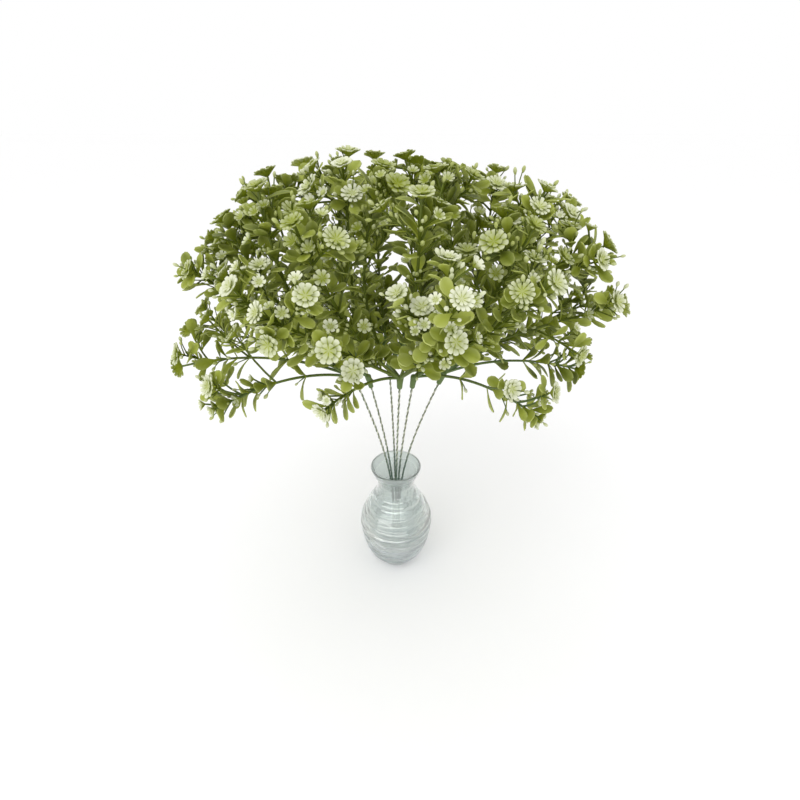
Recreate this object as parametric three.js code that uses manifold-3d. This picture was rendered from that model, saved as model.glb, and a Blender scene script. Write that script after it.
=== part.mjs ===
// A bunch of gypsophila in a small ribbed glass vase.
//
// Six wires stand in the vase. Each one carries a spray: a socket that forks into arms, and on the
// arms whorls of spoon-shaped leaves, round flower heads on thin branchlets, and buds on pins.
// Millimetres, +Z up, the origin at the middle of the vase's foot, the front of the bunch at -Y.
import * as THREE from "three";
import { mergeVertices } from "three/addons/utils/BufferGeometryUtils.js";
import Module from "manifold-3d";

const wasm = await Module();
wasm.setup();

// ---------------------------------------------------------------- driving dimensions

// The vase. OUTSIDE holds [height, radius] from above the foot to below the mouth.
const OUTSIDE = [
  [3, 19.5], [14, 26.4], [28, 31.6], [45, 34.6], [58, 34.4], [71, 29.4],
  [82, 23.2], [92, 18.8], [100, 17.8], [107, 19.5], [114, 22.3], [118.6, 23.9],
];
const VASE_HEIGHT = 120;
const FOOT_RADIUS = 16.5;
const GLASS = 2.4; // thickness of the wall
const FLOOR = 6; // thickness of the foot
const RIBS = 8;
const RIB_PITCH = 8.5;
const FIRST_RIB = 17; // height of the lowest rib
const RIB_RISE = 0.7; // how far a rib stands out of the wall
const VASE_SIDES = 24;

// The wires, one for each spray.
const WIRE_RADIUS = 1;
const WIRE_SIDES = 5;
const WIRE_STEPS = 11;
const WIRE_STANCE = 10; // how far from the axis a wire stands on the vase's floor
const WIRE_PULLS = [[-4, 75], [3, 125]]; // [radius, height] of the points that bend it
const CLEARANCE = 0.3; // between pieces that touch
const SOCKET_LENGTH = 12;
const SOCKET_RADIUS = [2.1, 2.9]; // at its lower and upper end
const SOCKET_DEPTH = 8; // how far the wire goes into it
const ARM_ROOT = 1.5; // how far below the socket's upper end the arms start

// The sprays. Each one keeps to its own wedge round the axis, so that no two touch.
const WEDGE = 60; // degrees
const WEDGE_GAP = 0.8;
const DOME_CENTRE = new THREE.Vector3(0, 0, 258);
const DOME = new THREE.Vector3(160, 140, 118); // half of its width, depth and height
const DOME_FULLNESS = 2.7; // 2 makes an ellipsoid, more fills out its shoulders
const APRON = { half: 45, height: 206, slope: 0.52 }; // in front, foliage keeps above it, clear of the wires
// The upper end of each wire, and the spray's arms. An arm is the place of its tip seen from the
// middle of the dome: azimuth, elevation, and reach as a share of the dome.
const SPRAYS = [
  {
    azimuth: 25,
    wireEnd: [41, 8, 212],
    arms: [[1, -19, 0.96], [34, 6, 1], [6, 9, 1.1], [42, 30, 1.03], [9, 44, 1.04],
      [39, 57, 1.02], [18, 77, 1]],
  },
  {
    azimuth: 85,
    wireEnd: [-6, 33, 208],
    arms: [[70, -12, 0.96], [102, -10, 0.98], [65, 16, 1.02], [102, 30, 1.03], [70, 50, 1.08],
      [99, 57, 1.1], [78, 77, 1.04]],
  },
  {
    azimuth: 145,
    wireEnd: [-24, 17, 204],
    arms: [[130, -8, 0.98], [170, -5, 1.09], [125, 16, 1.02], [162, 30, 1.03], [130, 52, 1.1],
      [159, 57, 1.02], [138, 77, 1.06]],
  },
  {
    azimuth: 205,
    wireEnd: [-33, -14, 220],
    arms: [[187, -10, 1.08], [213, -18, 0.94], [186, 26, 0.96], [222, 30, 0.9], [190, 45, 0.95],
      [219, 57, 1.02], [198, 77, 1]],
  },
  {
    azimuth: 265,
    wireEnd: [4, -31, 228],
    arms: [[244, -17, 0.67], [284, 20, 0.9], [243, 28, 1], [282, 30, 1.03], [247, 45, 1.02],
      [279, 57, 1.02], [258, 77, 1]],
  },
  {
    azimuth: 325,
    wireEnd: [15, -18, 222],
    arms: [[349, 14, 1.04], [327, -26, 0.82], [305, 30, 1.02], [342, 33, 1], [307, 45, 1.02],
      [339, 55, 1.02], [318, 77, 1]],
  },
];
const ARM_ARCH = 24; // degrees by which a level arm leaves the hub steeper than its chord
const ARM_UNARCHED = 35; // degrees of the chord at which an arm runs straight
const ARM_RADIUS = [1.3, 0.85];

// What grows on an arm. `at` is a share of its length and `lean` an angle from its direction.
const WHORLS = [
  { at: 0.4, leaves: 3, size: 1.15, branchlets: [] },
  { at: 0.62, leaves: 2, size: 1.1, branchlets: [40] },
  { at: 0.85, leaves: 2, size: 0.95, branchlets: [28, 24] },
];
const WHORL_TURN = 45; // degrees from one whorl to the next
const WHORL_HALF = 1.2; // half of the length of arm that a whorl takes
const BRANCHLET_LEANS = [30, 46, 62];
const UPWARD = 26; // how much room a branchlet gives up to point straight up
const LEAF = { length: 18.5, width: 9, widest: 0.64, tip: 0.54, thickness: 0.7, droop: 0.16, lean: 56 };
// A head's rim is its radius times `rise` above its stalk, and its middle `middle` times.
const HEAD = { radius: 8.8, lobes: 8, rise: 0.5, middle: 0.66, stalk: 0.65, outward: 0.7 };
const DEPTH = 600; // heads and leaves grow by a share of 1 for each such distance towards the back
const LOBE_GAP = new THREE.Vector3(0.76, 0.76, 0.7); // what is left of the rim between two lobes
const PIN = { length: 13, radius: 0.45, bud: 1.3, budLength: 4, budEnd: 1.8, lean: 50 };

// ---------------------------------------------------------------- helpers

const rad = THREE.MathUtils.degToRad;
const deg = THREE.MathUtils.radToDeg;
const { lerp } = THREE.MathUtils;
const Z = new THREE.Vector3(0, 0, 1);

let seed = 7;
function random() {
  seed = (Math.imul(1664525, seed) + 1013904223) >>> 0;
  return seed / 2 ** 32;
}
const vary = (share) => 1 + share * (2 * random() - 1);
const shift = (amount) => amount * (2 * random() - 1);

// A unit vector at an azimuth and an elevation.
const direction = (azimuth, elevation) =>
  new THREE.Vector3(
    Math.cos(rad(azimuth)) * Math.cos(rad(elevation)),
    Math.sin(rad(azimuth)) * Math.cos(rad(elevation)),
    Math.sin(rad(elevation)),
  );

// A frame at a point, with its +Z along one direction and its +Y as near as it can to another.
function frameAt(at, along, face) {
  const side = new THREE.Vector3().crossVectors(face, along).normalize();
  const up = new THREE.Vector3().crossVectors(along, side);
  return new THREE.Matrix4().makeBasis(side, up, along).setPosition(at);
}
const frameOn = (curve, t, face) => frameAt(curve.getPoint(t), curve.getTangent(t), face);
// The direction that leans away from a frame's +Z, towards an angle counted round it.
const leaning = (frame, round, lean) => direction(round, 90 - lean).transformDirection(frame);

function solidOf(geometry) {
  const bare = new THREE.BufferGeometry()
    .setAttribute("position", geometry.getAttribute("position"))
    .setIndex(geometry.index);
  const merged = mergeVertices(bare, 1e-4);
  return new wasm.Manifold(new wasm.Mesh({
    numProp: 3,
    vertProperties: merged.getAttribute("position").array,
    triVerts: new Uint32Array(merged.index.array),
  }));
}

function geometryOf(solid) {
  const mesh = solid.getMesh();
  return new THREE.BufferGeometry()
    .setAttribute("position", new THREE.BufferAttribute(mesh.vertProperties, 3))
    .setIndex(new THREE.BufferAttribute(mesh.triVerts, 1));
}

// A regular ring of points in a frame's own coordinates, counterclockwise round its +Z.
function circle(count, radius, height, turn) {
  const angle = (k) => rad(turn + (360 * k) / count);
  return Array.from({ length: count }, (_, k) =>
    new THREE.Vector3(radius * Math.cos(angle(k)), radius * Math.sin(angle(k)), height));
}

// A closed mesh that grows ring by ring, with shoots that start on its sides.
class Growth {
  points = [];
  faces = [];

  ring(frame, locals) {
    const first = this.points.length / 3;
    for (const local of locals) {
      this.points.push(...local.clone().applyMatrix4(frame).toArray());
    }
    return locals.map((_, k) => first + k);
  }

  // Joins two rings, which may have different numbers of points.
  join(from, to) {
    for (let i = 0, j = 0; i < from.length || j < to.length;) {
      const [a, b] = [from[i % from.length], to[j % to.length]];
      if ((i + 1) / from.length <= (j + 1) / to.length) {
        i += 1;
        this.faces.push(a, from[i % from.length], b);
      } else {
        j += 1;
        this.faces.push(a, to[j % to.length], b);
      }
    }
    return to;
  }

  close(ring) {
    for (let k = 1; k < ring.length - 1; k++) {
      this.faces.push(ring[0], ring[k], ring[k + 1]);
    }
  }

  peak(ring, frame, local) {
    const [top] = this.ring(frame, [local]);
    ring.forEach((point, k) => this.faces.push(point, ring[(k + 1) % ring.length], top));
  }

  geometry() {
    return new THREE.BufferGeometry()
      .setAttribute("position", new THREE.Float32BufferAttribute(this.points, 3))
      .setIndex(this.faces);
  }
}

// ---------------------------------------------------------------- the vase

function vaseGeometry() {
  const spline = new THREE.SplineCurve(OUTSIDE.map(([z, r]) => new THREE.Vector2(z, r)));
  const wall = spline.getPoints(200);
  const radiusAt = (z) => {
    const i = Math.max(1, wall.findIndex((p) => p.x >= z));
    return lerp(wall[i - 1].y, wall[i].y, (z - wall[i - 1].x) / (wall[i].x - wall[i - 1].x));
  };
  const outside = [[0, 0], [FOOT_RADIUS, 0], [19.5, 3], [22.6, 7.5]];
  for (let i = 0; i < 2 * RIBS - 1; i++) {
    const z = FIRST_RIB + (i * RIB_PITCH) / 2;
    outside.push([radiusAt(z) + (i % 2 ? 0 : RIB_RISE), z]);
  }
  outside.push(...[86, 92, 99, 106, 113, 118.4].map((z) => [radiusAt(z), z]));
  const lip = [[23.4, VASE_HEIGHT], [22.2, VASE_HEIGHT]];
  const inside = [112, 106, 99, 91, 80, 66, 48, 26, 12].map((z) => [radiusAt(z) - GLASS, z]);
  const profile = [...outside, ...lip, ...inside, [17, FLOOR + 1], [0, FLOOR]];
  return new THREE.LatheGeometry(profile.map(([r, z]) => new THREE.Vector2(r, z)), VASE_SIDES)
    .rotateX(Math.PI / 2);
}

// ---------------------------------------------------------------- wires and sockets

// A wire stands on the floor, leans in to the neck and out again to its socket.
function wireCurve({ azimuth, wireEnd }) {
  const from = (radius, height) => direction(azimuth, 0).multiplyScalar(radius).setZ(height);
  return new THREE.CubicBezierCurve3(
    from(WIRE_STANCE, FLOOR + WIRE_RADIUS + CLEARANCE),
    from(...WIRE_PULLS[0]),
    from(...WIRE_PULLS[1]),
    new THREE.Vector3(...wireEnd),
  );
}

function wireGeometry(curve) {
  const section = circle(WIRE_SIDES, WIRE_RADIUS, 0, 0).map(({ x, y }) => new THREE.Vector2(x, y));
  const along = { steps: WIRE_STEPS, extrudePath: curve, bevelEnabled: false };
  return new THREE.ExtrudeGeometry(new THREE.Shape(section), along);
}

// A tapered cup that the wire is pushed into. The arms start at its upper end.
function socketSolid(frame) {
  const growth = new Growth();
  const lower = growth.ring(frame, circle(6, SOCKET_RADIUS[0], -SOCKET_DEPTH, 0));
  const upper = growth.ring(frame,
    circle(6, SOCKET_RADIUS[1], SOCKET_LENGTH - SOCKET_DEPTH, 0));
  const bore = WIRE_RADIUS + 2 * CLEARANCE;
  const mouth = growth.ring(frame, circle(6, bore, -SOCKET_DEPTH, 0));
  const end = growth.ring(frame, circle(6, bore, CLEARANCE, 0));
  growth.close(growth.join(lower, upper));
  growth.join(mouth, lower);
  growth.join(end, mouth);
  growth.close([...end].reverse());
  return solidOf(growth.geometry());
}

// ---------------------------------------------------------------- where a spray's parts go

// The room that is left in a wedge: balls stand for what is in it already.
class Room {
  balls = [];

  constructor(azimuth) {
    this.inward = [-1, 1].map((side) => direction(azimuth + side * (WEDGE / 2 - 90), 0));
  }

  // How far a ball is from all that is there.
  apart(at, radius) {
    return Math.min(...this.balls.map((ball) => at.distanceTo(ball.at) - ball.radius)) - radius;
  }

  // The same, with the wedge's sides and the apron counted too.
  around(at, radius) {
    const gaps = this.inward.map((inward) => at.dot(inward) - WEDGE_GAP / 2 - radius);
    if (at.y < 0 && Math.abs(at.x) < APRON.half) {
      gaps.push(at.z - APRON.height + APRON.slope * at.y - radius);
    }
    return Math.min(...gaps, this.apart(at, radius));
  }

  take(at, radius) {
    this.balls.push({ at, radius });
  }

  // Moves a point until it is a distance clear of both of the wedge's sides.
  keepIn(point, distance) {
    for (const inward of [...this.inward, ...this.inward]) {
      point.addScaledVector(inward, Math.max(0, distance - point.dot(inward)));
    }
    return point;
  }
}

// A point seen from the middle of the dome, at a share of the way out to its surface.
function domePoint(azimuth, elevation, reach) {
  const power = (x) => Math.abs(x) ** DOME_FULLNESS;
  const fullness = power(Math.cos(rad(elevation))) + power(Math.sin(rad(elevation)));
  return direction(azimuth, elevation)
    .multiply(DOME)
    .multiplyScalar(reach / fullness ** (1 / DOME_FULLNESS))
    .add(DOME_CENTRE);
}

// The balls that stand for a head, a stalk and a leaf.
const headBall = ({ end, along, radius }) =>
  [end.clone().addScaledVector(along, 0.45 * radius), 0.85 * radius];
const STALK_BALL = 1.2;
const stalkPoints = (root, end) =>
  [0.3, 0.45, 0.6, 0.75, 0.9].map((share) => root.clone().lerp(end, share));
const LEAF_BALLS = [[0.38, 0.26], [0.68, 0.42], [1, 0.27]]; // [share of length, of width]

// The share by which what grows at a point is larger than at the middle of the bunch.
const deeper = (at) => 1 + at.y / DEPTH;

// A flower head at a point, turned between its stalk's direction and straight out of the dome.
function planHead(end, heading, radius) {
  const outward = end.clone().sub(DOME_CENTRE).normalize();
  const along = heading.clone().addScaledVector(outward, HEAD.outward).normalize();
  return { kind: "head", end, along, radius };
}

// An arm runs from the hub to its tip on the dome, and arches on the way.
function planArm(room, hub, [azimuth, elevation, reach]) {
  const tip = domePoint(azimuth + shift(2), elevation + shift(2), reach * vary(0.02));
  const size = HEAD.radius * deeper(tip) * vary(0.1);
  room.keepIn(tip, 1.3 * size);
  const chord = tip.clone().sub(hub);
  const rise = deg(Math.asin(chord.z / chord.length()));
  const heading = deg(Math.atan2(chord.y, chord.x));
  const leaving = direction(heading, rise + ARM_ARCH * (1 - rise / ARM_UNARCHED));
  const bend = hub.clone().addScaledVector(leaving, chord.length() / 2);
  const curve = new THREE.QuadraticBezierCurve3(hub, bend, tip);
  const arm = {
    curve,
    level: direction(heading + 90, 0), // square to the upright plane that the arm lies in
    turn: 360 * random(),
    head: planHead(tip, curve.getTangent(1), size),
  };
  for (let step = 4; step < 20; step++) {
    room.take(curve.getPoint(step / 20), ARM_RADIUS[0]);
  }
  room.take(...headBall(arm.head));
  return arm;
}

// The place with the most room for a branchlet and its head, on one of the arm's four sides.
function planBranchlet(room, frame, turn, length) {
  const root = new THREE.Vector3().setFromMatrixPosition(frame);
  const reach = length * vary(0.12);
  const radius = HEAD.radius * deeper(root) * vary(0.1);
  const choices = [0, 1, 2, 3].flatMap((side) => BRANCHLET_LEANS.map((lean) => {
    const heading = leaning(frame, turn + 90 * side + 45, lean + shift(6));
    const head = planHead(root.clone().addScaledVector(heading, reach), heading, radius);
    const stalk = stalkPoints(root, head.end);
    const fits = room.around(...headBall(head)) > 0
      && stalk.every((point) => room.around(point, STALK_BALL) > 0);
    const worth = room.apart(...headBall(head)) + UPWARD * heading.z;
    return { side, head, stalk, worth: fits ? worth : -Infinity };
  }));
  return choices.reduce((best, choice) => (choice.worth > best.worth ? choice : best));
}

function planLeaf(room, frame, round, size) {
  const along = leaning(frame, round + shift(14), LEAF.lean + shift(9));
  const root = new THREE.Vector3().setFromMatrixPosition(frame);
  const length = LEAF.length * size * deeper(root) * vary(0.14);
  const balls = LEAF_BALLS.map(([share, radius]) =>
    [root.clone().addScaledVector(along, share * length), radius * LEAF.width]);
  const gap = Math.min(...balls.map((ball) => room.around(...ball)));
  return { kind: "leaf", along, length, balls, gap };
}

function planPin(room, frame, round) {
  const along = leaning(frame, round + shift(14), PIN.lean + shift(12));
  const length = PIN.length * vary(0.15);
  const end = new THREE.Vector3().setFromMatrixPosition(frame).addScaledVector(along, length);
  return { kind: "bud", end, along, length, gap: room.around(end, PIN.bud + 0.5) };
}

// A whorl has a shoot or nothing on each of the arm's four sides.
function planWhorl(room, { curve, level, turn }, { at, leaves, size, branchlets }) {
  const frame = frameOn(curve, at, level);
  const shoots = [null, null, null, null];
  for (const length of branchlets) {
    const { side, head, stalk, worth } = planBranchlet(room, frame, turn, length);
    if (worth > -Infinity && !shoots[side]) {
      shoots[side] = head;
      room.take(...headBall(head));
      stalk.forEach((point) => room.take(point, STALK_BALL));
    }
  }
  let left = leaves;
  for (let side = 0; side < 4; side++) {
    const leaf = planLeaf(room, frame, turn + 90 * side + 45, size);
    if (!shoots[side] && left > 0 && leaf.gap > 0) {
      shoots[side] = leaf;
      leaf.balls.forEach((ball) => room.take(...ball));
      left -= 1;
    }
  }
  for (let side = 0; side < 4; side++) {
    const pin = planPin(room, frame, turn + 90 * side + 45);
    if (!shoots[side] && pin.gap > 0) {
      shoots[side] = pin;
      room.take(pin.end, PIN.bud);
      break;
    }
  }
  return { at, turn, shoots };
}

function planSpray(azimuth, hub, aims) {
  const room = new Room(azimuth);
  const arms = aims.map((aim) => planArm(room, hub, aim));
  for (const arm of arms) {
    arm.whorls = WHORLS.map((whorl, n) =>
      planWhorl(room, { ...arm, turn: arm.turn + WHORL_TURN * n }, whorl));
  }
  return arms;
}

// ---------------------------------------------------------------- growing a spray

const CORNER = 225; // where the first point of a shoot's base lies, in the shoot's own frame

// A spoon-shaped leaf, bent back at the tip.
function growLeaf(growth, base, root, { along, length }, tangent) {
  const frame = frameAt(root, along, tangent);
  const section = (half, back, z) => {
    const [low, high] = [back - LEAF.thickness / 2, back + LEAF.thickness / 2];
    return growth.ring(frame, [[-half, low, z], [half, low, z], [half, high, z], [-half, high, z]]
      .map((local) => new THREE.Vector3(...local)));
  };
  const middle = section(LEAF.width / 2, 0, LEAF.widest * length);
  const tip = section((LEAF.tip * LEAF.width) / 2, -LEAF.droop * length, length);
  growth.join(base, middle);
  growth.close(growth.join(middle, tip));
}

// A shallow cup of lobes on a stalk, with ridges that run from its raised middle to the lobes.
function growHead(growth, base, { end, along, radius }, face, turn) {
  const frame = frameAt(end, along, face);
  const stalk = growth.ring(frame, circle(4, HEAD.stalk, -1, turn));
  const rim = growth.ring(frame, circle(2 * HEAD.lobes, radius, HEAD.rise * radius, turn)
    .map((point, k) => (k % 2 ? point.multiply(LOBE_GAP) : point)));
  growth.join(base, stalk);
  growth.join(stalk, rim);
  growth.peak(rim, frame, new THREE.Vector3(0, 0, HEAD.middle * radius));
}

// A pin that swells to a bud at its end.
function growBud(growth, base, root, { along, length }, tangent) {
  const frame = frameAt(root, along, tangent);
  const neck = growth.ring(frame, circle(3, PIN.radius, length - PIN.budLength, CORNER));
  const bulge = growth.ring(frame, circle(3, PIN.bud, length - PIN.budEnd, CORNER));
  growth.join(base, neck);
  growth.join(neck, bulge);
  growth.peak(bulge, frame, new THREE.Vector3(0, 0, length));
}

// An arm with all that grows on it, as one closed mesh.
function armSolid({ curve, level, turn, whorls, head }) {
  const growth = new Growth();
  const radius = (t) => lerp(ARM_RADIUS[0], ARM_RADIUS[1], t);
  const half = WHORL_HALF / curve.getLength();
  let ring = growth.ring(frameOn(curve, 0, level), circle(4, radius(0), 0, turn));
  growth.close([...ring].reverse());
  for (const whorl of whorls) {
    const [lower, upper] = [whorl.at - half, whorl.at + half].map((t) =>
      growth.ring(frameOn(curve, t, level), circle(4, radius(t), 0, whorl.turn)));
    growth.join(ring, lower);
    const [root, tangent] = [curve.getPoint(whorl.at), curve.getTangent(whorl.at)];
    whorl.shoots.forEach((shoot, side) => {
      const next = (side + 1) % 4;
      const base = [lower[side], lower[next], upper[next], upper[side]];
      if (shoot?.kind === "leaf") growLeaf(growth, base, root, shoot, tangent);
      if (shoot?.kind === "bud") growBud(growth, base, root, shoot, tangent);
      if (shoot?.kind === "head") growHead(growth, base, shoot, tangent, CORNER);
      if (!shoot) growth.close(base);
    });
    ring = upper;
  }
  growHead(growth, ring, head, level, whorls.at(-1).turn);
  return solidOf(growth.geometry());
}

function sprayGeometry({ azimuth, arms: aims }, wire) {
  const frame = frameOn(wire, 1, Z);
  const hub = new THREE.Vector3(0, 0, SOCKET_LENGTH - SOCKET_DEPTH - ARM_ROOT)
    .applyMatrix4(frame);
  const arms = planSpray(azimuth, hub, aims);
  return geometryOf(wasm.Manifold.union([socketSolid(frame), ...arms.map(armSolid)]));
}

// ---------------------------------------------------------------- the bunch

const glass = new THREE.MeshStandardMaterial(
  { color: 0xc9d3cf, roughness: 0.12, metalness: 0, transparent: true, opacity: 0.45 });
const sage = new THREE.MeshStandardMaterial({ color: 0x6f8762, roughness: 0.6, metalness: 0 });
const olive = new THREE.MeshStandardMaterial({ color: 0x6f7f2c, roughness: 0.5, metalness: 0 });

const bunch = new THREE.Group();

function addMesh(name, geometry, material) {
  const mesh = new THREE.Mesh(geometry, material);
  mesh.name = name;
  bunch.add(mesh);
}

addMesh("vase", vaseGeometry(), glass);
SPRAYS.forEach((spray, i) => {
  const wire = wireCurve(spray);
  addMesh(`wire_${i + 1}`, wireGeometry(wire), sage);
  addMesh(`spray_${i + 1}`, sprayGeometry(spray, wire), olive);
});

export default bunch;
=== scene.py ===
# %% [markdown]
# # A bunch of gypsophila in a ribbed glass vase
# The real thing is moulded plastic: six wires stand in a small vase of milky glass, and each one
# carries a spray of arms with spoon-shaped leaves, round flower heads and buds on thin pins.
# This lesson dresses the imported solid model. The solids say where everything is, and the pieces
# made here take their place with finer shapes and with the finish of the real thing.

import math
import random

import bpy
import numpy as np
from mathutils import Matrix, Vector


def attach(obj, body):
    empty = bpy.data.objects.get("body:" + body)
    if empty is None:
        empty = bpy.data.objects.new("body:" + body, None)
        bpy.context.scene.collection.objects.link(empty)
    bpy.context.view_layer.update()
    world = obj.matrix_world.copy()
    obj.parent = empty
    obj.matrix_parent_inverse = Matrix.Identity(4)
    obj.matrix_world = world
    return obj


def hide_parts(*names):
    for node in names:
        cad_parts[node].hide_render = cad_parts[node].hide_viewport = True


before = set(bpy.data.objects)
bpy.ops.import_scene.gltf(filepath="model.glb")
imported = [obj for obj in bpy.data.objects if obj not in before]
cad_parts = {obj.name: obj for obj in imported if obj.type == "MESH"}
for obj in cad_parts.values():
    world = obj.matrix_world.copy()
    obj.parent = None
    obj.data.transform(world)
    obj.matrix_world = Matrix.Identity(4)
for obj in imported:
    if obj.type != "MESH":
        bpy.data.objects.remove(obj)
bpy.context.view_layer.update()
MM = 0.001

# %% [markdown]
# ## The camera
# The camera goes first, because everything is judged through it. It stands close in front of the
# bunch and looks down at it, so it needs a wide lens. That alone would show the near flowers much
# larger than the far ones. The solids even it out with heads and leaves that grow to the back.

# %% Camera
CAMERA_AT = (4 * MM, -349 * MM, 397 * MM)
CAMERA_PITCH = 30.4  # degrees below level
LENS = 20.7  # millimetres, on a sensor 36 wide


def put(name, data):
    made = bpy.data.objects.new(name, data)
    bpy.context.scene.collection.objects.link(made)
    return made


camera_data = bpy.data.cameras.new("camera")
camera_data.lens = LENS
camera_data.clip_start = 0.01
camera = put("camera", camera_data)
camera.location = CAMERA_AT
camera.rotation_euler = (math.radians(90 - CAMERA_PITCH), 0, 0)
bpy.context.scene.camera = camera
print("the camera stands", round(Vector(CAMERA_AT).length / MM), "mm from the vase's foot")

# %% [markdown]
# ## Shader maths as Python
# A material is a graph of nodes, and sums written as nodes are hard to read. A small class wraps a
# socket and overloads the operators, so that an expression on values adds its own Math nodes.
# Colours go through Mix nodes instead, because a Math node would turn them grey.


# %% A socket that can be reckoned with
def srgb(red, green, blue):
    """A colour given as it looks on a screen, 0 to 255, as the linear values that shaders use."""
    shares = [value / 255 for value in (red, green, blue)]
    return tuple(s / 12.92 if s < 0.04045 else ((s + 0.055) / 1.055) ** 2.4 for s in shares) + (1,)


class Value:
    """A number that changes over a surface."""

    def __init__(self, material, socket):
        self.material = material
        self.socket = socket

    def math(self, operation, *others):
        return self.material.node("ShaderNodeMath", {"operation": operation}, self, *others)

    def __add__(self, other):
        return self.math("ADD", other)

    def __radd__(self, other):
        return self.math("ADD", other)

    def __sub__(self, other):
        return self.math("SUBTRACT", other)

    def __rsub__(self, other):
        return self.material.node("ShaderNodeMath", {"operation": "SUBTRACT"}, other, self)

    def __mul__(self, other):
        return self.math("MULTIPLY", other)

    def __rmul__(self, other):
        return self.math("MULTIPLY", other)

    def __pow__(self, other):
        return self.math("POWER", other)

    def size(self):
        return self.math("ABSOLUTE")

    def step(self, low, high):
        """0 below low, 1 above high, and smooth in between."""
        settings = {"interpolation_type": "SMOOTHSTEP"}
        return self.material.node("ShaderNodeMapRange", settings, self, low, high)


class Material:
    """A material whose nodes are made by one method."""

    def __init__(self, name):
        self.made = bpy.data.materials.new(name)
        self.made.use_nodes = True
        self.tree = self.made.node_tree
        self.shader = self.tree.nodes["Principled BSDF"]

    def node(self, kind, settings=None, *values, out=0, **named):
        """Makes a node and returns one of its outputs. Values go to its sockets in order."""
        made = self.tree.nodes.new(kind)
        for key, value in (settings or {}).items():
            setattr(made, key, value)
        for key, value in [*enumerate(values), *named.items()]:
            socket = made.inputs[key.replace("_", " ") if isinstance(key, str) else key]
            if isinstance(value, Value):
                self.tree.links.new(value.socket, socket)
            else:
                socket.default_value = value
        return Value(self, made.outputs[out])

    def mix(self, share, first, second):
        """A colour between two others."""
        made = self.tree.nodes.new("ShaderNodeMix")
        made.data_type = "RGBA"
        sockets = [s for s in made.inputs if s.enabled]
        for socket, value in zip(sockets, (share, first, second)):
            if isinstance(value, Value):
                self.tree.links.new(value.socket, socket)
            else:
                socket.default_value = value
        return Value(self, next(s for s in made.outputs if s.enabled))

    def place(self):
        return self.node("ShaderNodeTexCoord", out="Object")

    def attribute(self, name):
        return self.node("ShaderNodeAttribute", {"attribute_name": name}, out="Fac")

    def height(self, place):
        return self.node("ShaderNodeSeparateXYZ", None, place, out="Z")

    def noise(self, place, scale, detail=2.0):
        return self.node("ShaderNodeTexNoise", None, Vector=place, Scale=scale, Detail=detail)

    def finish(self, colour, roughness, height=None, depth=0.0, **constants):
        """Joins what was worked out to the shader. Height is a bump, and depth is its size."""
        for socket, value in [("Base Color", colour), ("Roughness", roughness)]:
            if isinstance(value, Value):
                self.tree.links.new(value.socket, self.shader.inputs[socket])
            else:
                self.shader.inputs[socket].default_value = value
        if height is not None:
            bump = self.node("ShaderNodeBump", None, Height=height, Distance=depth, Strength=1.0)
            self.tree.links.new(bump.socket, self.shader.inputs["Normal"])
        for socket, value in constants.items():
            self.shader.inputs[socket.replace("_", " ")].default_value = value
        return self.made


print("shader maths is ready")

# %% [markdown]
# ## Where everything grows
# The solid model places its arms, leaves and heads by a rule, with a seeded draw. The same rule
# with the same draw is written out here, so each fine leaf and head lands on the plain one that
# it stands for, and no point has to be read from a mesh. All of it is in millimetres.

# %% Driving dimensions, the same as the solid model's
VASE_FLOOR = 6
WIRE_RADIUS = 1
WIRE_STANCE = 10  # how far from the axis a wire stands on the vase's floor
WIRE_PULLS = [(-4, 75), (3, 125)]  # (radius, height) of the points that bend it
CLEARANCE = 0.3
SOCKET_LENGTH = 12
SOCKET_DEPTH = 8
ARM_ROOT = 1.5

WEDGE = 60  # degrees round the axis that each spray keeps to
WEDGE_GAP = 0.8
DOME_CENTRE = np.array([0.0, 0.0, 258.0])
DOME = np.array([160.0, 140.0, 118.0])
DOME_FULLNESS = 2.7
APRON_HALF = 45  # in front, foliage keeps above the apron, clear of the wires
APRON_HEIGHT = 206
APRON_SLOPE = 0.52
# (azimuth, upper end of the wire, arms), and an arm is (azimuth, elevation, reach).
SPRAYS = [
    (25, (41, 8, 212), [(1, -19, 0.96), (34, 6, 1), (6, 9, 1.1), (42, 30, 1.03), (9, 44, 1.04),
                        (39, 57, 1.02), (18, 77, 1)]),
    (85, (-6, 33, 208), [(70, -12, 0.96), (102, -10, 0.98), (65, 16, 1.02), (102, 30, 1.03),
                         (70, 50, 1.08), (99, 57, 1.1), (78, 77, 1.04)]),
    (145, (-24, 17, 204), [(130, -8, 0.98), (170, -5, 1.09), (125, 16, 1.02), (162, 30, 1.03),
                           (130, 52, 1.1), (159, 57, 1.02), (138, 77, 1.06)]),
    (205, (-33, -14, 220), [(187, -10, 1.08), (213, -18, 0.94), (186, 26, 0.96), (222, 30, 0.9),
                            (190, 45, 0.95), (219, 57, 1.02), (198, 77, 1)]),
    (265, (4, -31, 228), [(244, -17, 0.67), (284, 20, 0.9), (243, 28, 1), (282, 30, 1.03),
                          (247, 45, 1.02), (279, 57, 1.02), (258, 77, 1)]),
    (325, (15, -18, 222), [(349, 14, 1.04), (327, -26, 0.82), (305, 30, 1.02), (342, 33, 1),
                           (307, 45, 1.02), (339, 55, 1.02), (318, 77, 1)]),
]
ARM_ARCH = 24
ARM_UNARCHED = 35
ARM_RADIUS = (1.3, 0.85)

# (share of the arm's length, number of leaves, their size, lengths of its branchlets)
WHORLS = [(0.4, 3, 1.15, ()), (0.62, 2, 1.1, (40,)), (0.85, 2, 0.95, (28, 24))]
WHORL_TURN = 45
BRANCHLET_LEANS = (30, 46, 62)
UPWARD = 26
LEAF_LENGTH = 18.5
LEAF_WIDTH = 9
LEAF_LEAN = 56
HEAD_RADIUS = 8.8
HEAD_OUTWARD = 0.7
HEAD_BALL = (0.45, 0.85)  # its height over the stalk's end and its radius, as shares of the head's
HEAD_ROOM = 1.3
ARM_STEPS = 20
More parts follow.
